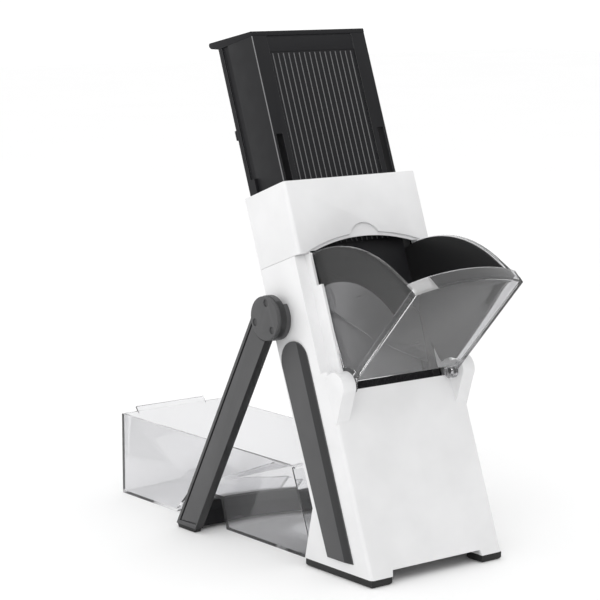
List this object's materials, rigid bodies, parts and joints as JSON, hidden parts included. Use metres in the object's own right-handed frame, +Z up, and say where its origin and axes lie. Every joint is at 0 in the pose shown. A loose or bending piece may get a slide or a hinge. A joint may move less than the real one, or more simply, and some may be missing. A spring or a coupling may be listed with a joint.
{
  "type": "mandoline slicer",
  "caption": "Leaning pull-down mandoline slicer with a sprung blade carriage, clear tilting feed chute, folding rear stand and clear catch container.",
  "frame": {"origin": "centre of the bounding box on the table plane, under the container's front", "axes": "+Z up, -Y towards the user (the feed chute's side), +X to the user's right"},
  "size_m": [0.1536, 0.3766, 0.3844],
  "materials": {
    "white_shell": "satin gloss moulded ABS",
    "grey_plastic": "fine matt moulded texture",
    "black_plastic": "satin moulded",
    "guard_plastic": "satin moulded",
    "clear_chute": "polished clear tinted plastic",
    "clear_box": "polished clear tinted plastic",
    "blade_steel": "ground stainless steel",
    "plate_steel": "brushed stainless steel",
    "steel_screw": "plain steel",
    "rod_steel": "polished steel rod",
    "spring_steel": "drawn spring wire",
    "rubber_pad": "matt rubber"
  },
  "bodies": {
    "tower": {"lower_housing": "white_shell", "upper_housing": "white_shell", "base_plate": "grey_plastic", "base_screws": "steel_screw", "rear_brace": "white_shell", "guide_rail_right": "black_plastic", "guide_rail_left": "black_plastic", "side_trim_right": "grey_plastic", "side_trim_left": "grey_plastic", "foot_pad_right": "rubber_pad", "foot_pad_left": "rubber_pad", "hinge_hub_right": "grey_plastic", "hinge_hub_left": "grey_plastic", "hinge_pin_right": "steel_screw", "hinge_pin_left": "steel_screw", "chute_pin_right": "grey_plastic", "chute_pin_left": "grey_plastic", "guide_rod_right": "rod_steel", "guide_rod_left": "rod_steel", "return_spring_right": "spring_steel", "return_spring_left": "spring_steel"},
    "carriage": {"carriage_frame": "black_plastic", "blade": "blade_steel", "blade_screws": "steel_screw", "feed_plate": "black_plastic", "handle_top": "black_plastic"},
    "thickness_plate": {"thickness_plate": "plate_steel"},
    "thickness_knob": {"thickness_knob": "grey_plastic"},
    "lock_slider": {"lock_slider": "black_plastic"},
    "chute": {"chute_window": "clear_chute", "feed_guard_right": "guard_plastic", "feed_guard_left": "guard_plastic"},
    "stand": {"leg_arm_right": "grey_plastic", "leg_arm_left": "grey_plastic", "hinge_cap_right": "grey_plastic", "hinge_cap_left": "grey_plastic", "leg_foot_right": "rubber_pad", "leg_foot_left": "rubber_pad", "leg_crossbar": "black_plastic"},
    "container": {"container": "clear_box"}
  },
  "joints": [
    {"name": "carriage_slide", "type": "slide", "parent": "tower", "child": "carriage", "axis": [0, -0.3486, -0.9373], "range_m": [0, 0.09], "stiffness_N_per_m": 90, "springref_m": -0.07, "deforming": ["return_spring_right", "return_spring_left"]},
    {"name": "thickness_turn", "type": "hinge", "parent": "carriage", "child": "thickness_knob", "pos_m": [0, -0.07111, 0.13761], "axis": [0, 0.9373, -0.3486], "range_deg": [-150, 150]},
    {"name": "thickness_travel", "type": "slide", "parent": "carriage", "child": "thickness_plate", "axis": [0, 0.9373, -0.3486], "range_m": [-0.002, 0.002]},
    {"name": "lock_travel", "type": "slide", "parent": "carriage", "child": "lock_slider", "axis": [0, 0.3486, 0.9373], "range_m": [0, 0.009]},
    {"name": "chute_tilt", "type": "hinge", "parent": "tower", "child": "chute", "pos_m": [0, -0.10991, 0.13657], "axis": [-1, 0, 0], "range_deg": [0, 60]},
    {"name": "stand_fold", "type": "hinge", "parent": "tower", "child": "stand", "pos_m": [0, -0.04627, 0.18001], "axis": [-1, 0, 0], "range_deg": [0, 38]},
    {"name": "container_lift", "type": "slide", "parent": "tower", "child": "container", "axis": [0, 0.3746, 0.9272], "range_m": [0, 0.2]}
  ],
  "couplings": [
    {"joint": "thickness_turn", "follows": "thickness_travel", "rad_per_m": -1256.6},
    {"joint": "container_lift", "follows": "stand_fold", "m_per_rad": 0.3}
  ]
}
